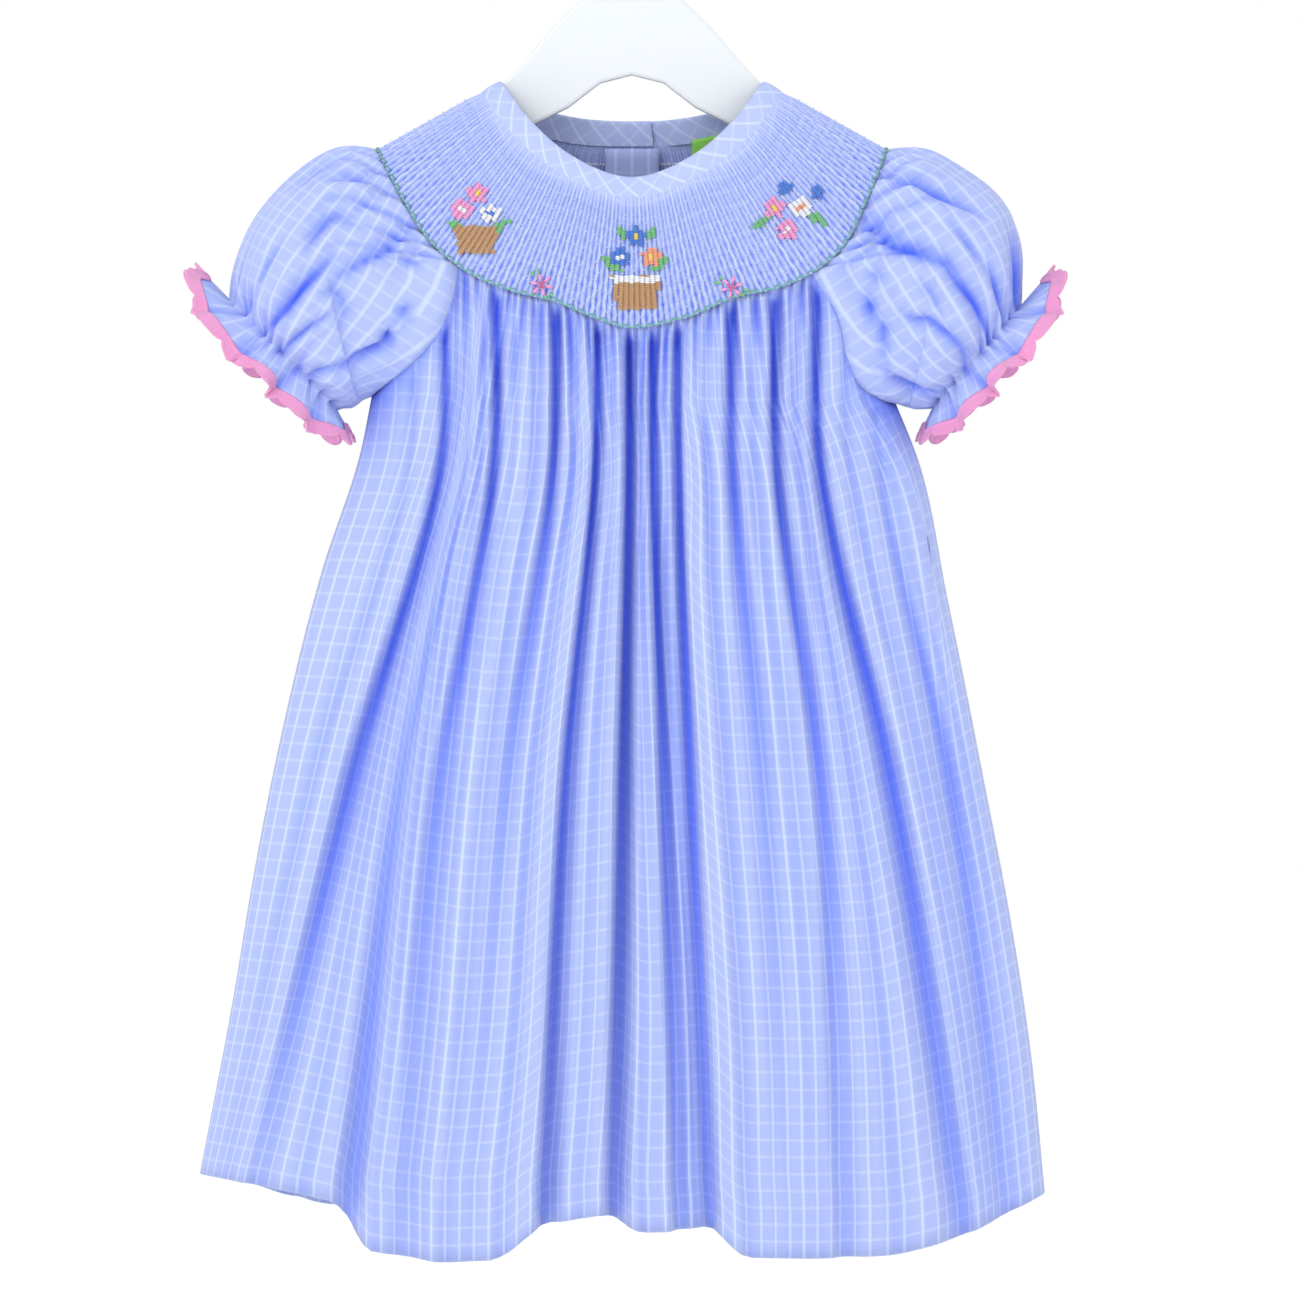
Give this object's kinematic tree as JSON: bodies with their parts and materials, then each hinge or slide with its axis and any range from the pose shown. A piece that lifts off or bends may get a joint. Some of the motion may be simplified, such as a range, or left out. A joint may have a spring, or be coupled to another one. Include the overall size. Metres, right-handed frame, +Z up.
{
  "type": "smocked dress on hanger",
  "caption": "Child's smocked bishop dress in checked cotton with short puff sleeves, hanging on a plain moulded hanger.",
  "frame": {"origin": "inside top of the hanger's hook, where a rod or peg carries it", "axes": "+Z up, the front of the dress faces -Y, +X to the right of someone who looks at the front"},
  "size_m": [0.4179, 0.109, 0.6672],
  "materials": {
    "cotton_check": "periwinkle cotton with a white windowpane check, matt",
    "crochet": "pink cotton crochet, matt",
    "hanger_plastic": "white moulded plastic, satin",
    "button": "white button, satin",
    "label": "lime green woven tape, bare"
  },
  "bodies": {
    "root": {"hanger": "hanger_plastic", "neckband": "cotton_check", "front_smocking": "cotton_check", "sleeve_left_smocking": "cotton_check", "sleeve_right_smocking": "cotton_check", "back_left_smocking": "cotton_check", "back_right_smocking": "cotton_check", "front": "cotton_check", "back_left": "cotton_check", "back_right": "cotton_check", "sleeve_left": "cotton_check", "sleeve_right": "cotton_check", "placket_over": "cotton_check", "placket_under": "cotton_check", "edging_left": "crochet", "edging_right": "crochet", "label": "label", "button_1": "button", "button_2": "button", "button_3": "button"}
  },
  "joints": []
}
